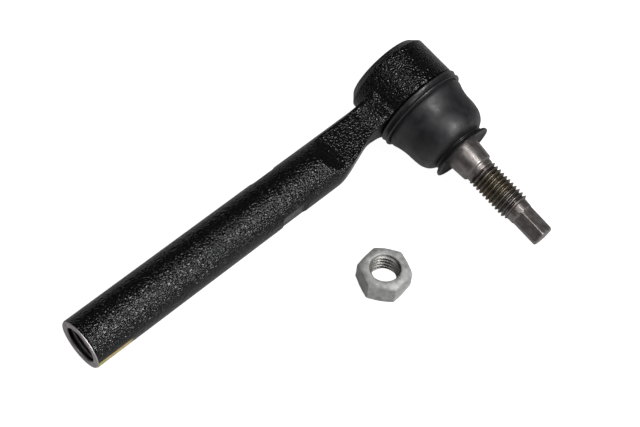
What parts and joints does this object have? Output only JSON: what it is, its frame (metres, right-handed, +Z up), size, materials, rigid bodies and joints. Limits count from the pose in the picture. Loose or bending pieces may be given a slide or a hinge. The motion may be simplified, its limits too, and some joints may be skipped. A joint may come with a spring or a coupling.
{
  "type": "outer tie rod end",
  "caption": "Steering tie rod end: forged female-threaded rod with a ball housing, tapered ball stud under a rubber dust boot, and its hexagon nut lying beside it.",
  "frame": {"origin": "middle of the bottom of the whole box, on the table that the part and its nut lie on", "axes": "+Z up from the table, +X along the rod from its open end towards the ball, and the stud points towards -Y and slightly down"},
  "size_m": [0.2112, 0.1076, 0.0466],
  "materials": {
    "black_paint": "gloss black paint over a rough forged skin",
    "liner": "natural acetal",
    "bare_steel": "machined bare steel",
    "stud_steel": "phosphated and oiled steel",
    "rubber": "soft black moulded rubber",
    "clamp": "black coated spring steel",
    "zinc": "dull mottled zinc"
  },
  "bodies": {
    "housing": {"rod_housing": "black_paint", "bearing_liner": "liner", "pressure_seat": "liner", "preload_spring": "bare_steel", "cover_plate": "black_paint", "boot_clamp": "clamp"},
    "boot_middle": {"dust_boot": "rubber"},
    "boot_end": {"boot_spring_ring": "clamp"},
    "stud": {"ball_stud": "stud_steel"},
    "nut": {"stud_nut": "zinc"}
  },
  "joints": [
    {"name": "swing_across", "type": "hinge", "parent": "housing", "child": "boot_middle", "pos_m": [0.08368, 0.03099, 0.02289], "axis": [0.9982, 0, 0.0598], "range_deg": [-20, 20], "deforming": ["dust_boot"]},
    {"name": "swing_along", "type": "hinge", "parent": "boot_middle", "child": "boot_end", "pos_m": [0.08368, 0.03099, 0.02289], "axis": [-0.0585, -0.2115, 0.9756], "range_deg": [-20, 20], "deforming": ["dust_boot"]},
    {"name": "stud_spin", "type": "hinge", "parent": "boot_end", "child": "stud", "pos_m": [0.08368, 0.03099, 0.02289], "axis": [0.0127, -0.9774, -0.2111], "continuous": true},
    {"name": "nut_lift", "type": "slide", "parent": "housing", "child": "nut", "axis": [0, 0, 1], "range_m": [0, 0.03]}
  ]
}
